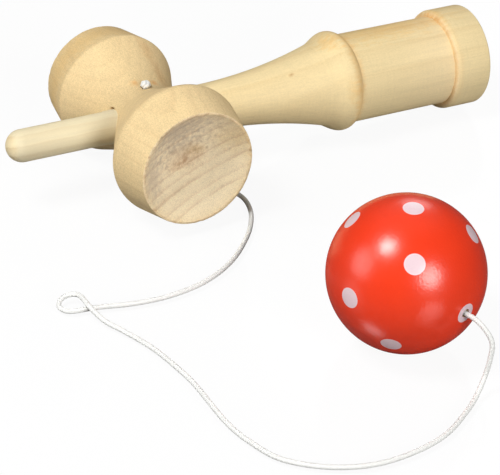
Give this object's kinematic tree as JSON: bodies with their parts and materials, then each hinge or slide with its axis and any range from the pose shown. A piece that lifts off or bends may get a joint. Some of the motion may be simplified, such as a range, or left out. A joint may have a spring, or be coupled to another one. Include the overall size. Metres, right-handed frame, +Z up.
{
  "type": "cup and ball toy",
  "caption": "Wooden cup and ball toy lying on a table: turned handle with a spike and foot, cross piece with a cup at each end, and a drilled lacquered ball on a braided cord.",
  "frame": {"origin": "on the table, below the middle of the box around handle, cross piece and ball", "axes": "+X along the handle from the spike towards the foot, +Y from the large cup towards the small cup, +Z up"},
  "size_m": [0.1922, 0.2165, 0.05],
  "materials": {
    "handle_wood": "pale turned hardwood, sanded, faint grain along the handle",
    "spike_wood": "creamier dowel, sanded smooth",
    "cross_wood": "pale turned hardwood with end grain in the dishes",
    "ball_lacquer": "glossy scarlet lacquer over wood, with white painted dots",
    "bead_wood": "plain turned bead",
    "cord_white": "fine white braided cord"
  },
  "bodies": {
    "toy": {"handle": "handle_wood", "spike": "spike_wood", "cross_cups": "cross_wood", "top_knot": "cord_white", "cord": "cord_white"},
    "cord_end": {"stop_bead": "bead_wood", "end_knot": "cord_white"},
    "ball": {"ball": "ball_lacquer"}
  },
  "joints": [
    {"name": "ball_swing", "type": "hinge", "parent": "toy", "child": "cord_end", "pos_m": [-0.08307, -0.04866, 0.001], "axis": [0, 0, 1], "range_deg": [-30, 25], "deforming": ["cord"]},
    {"name": "ball_spin", "type": "hinge", "parent": "cord_end", "child": "ball", "pos_m": [-0.01157, -0.06917, 0.025], "axis": [0.2578, -0.9623, -0.0872], "continuous": true}
  ]
}
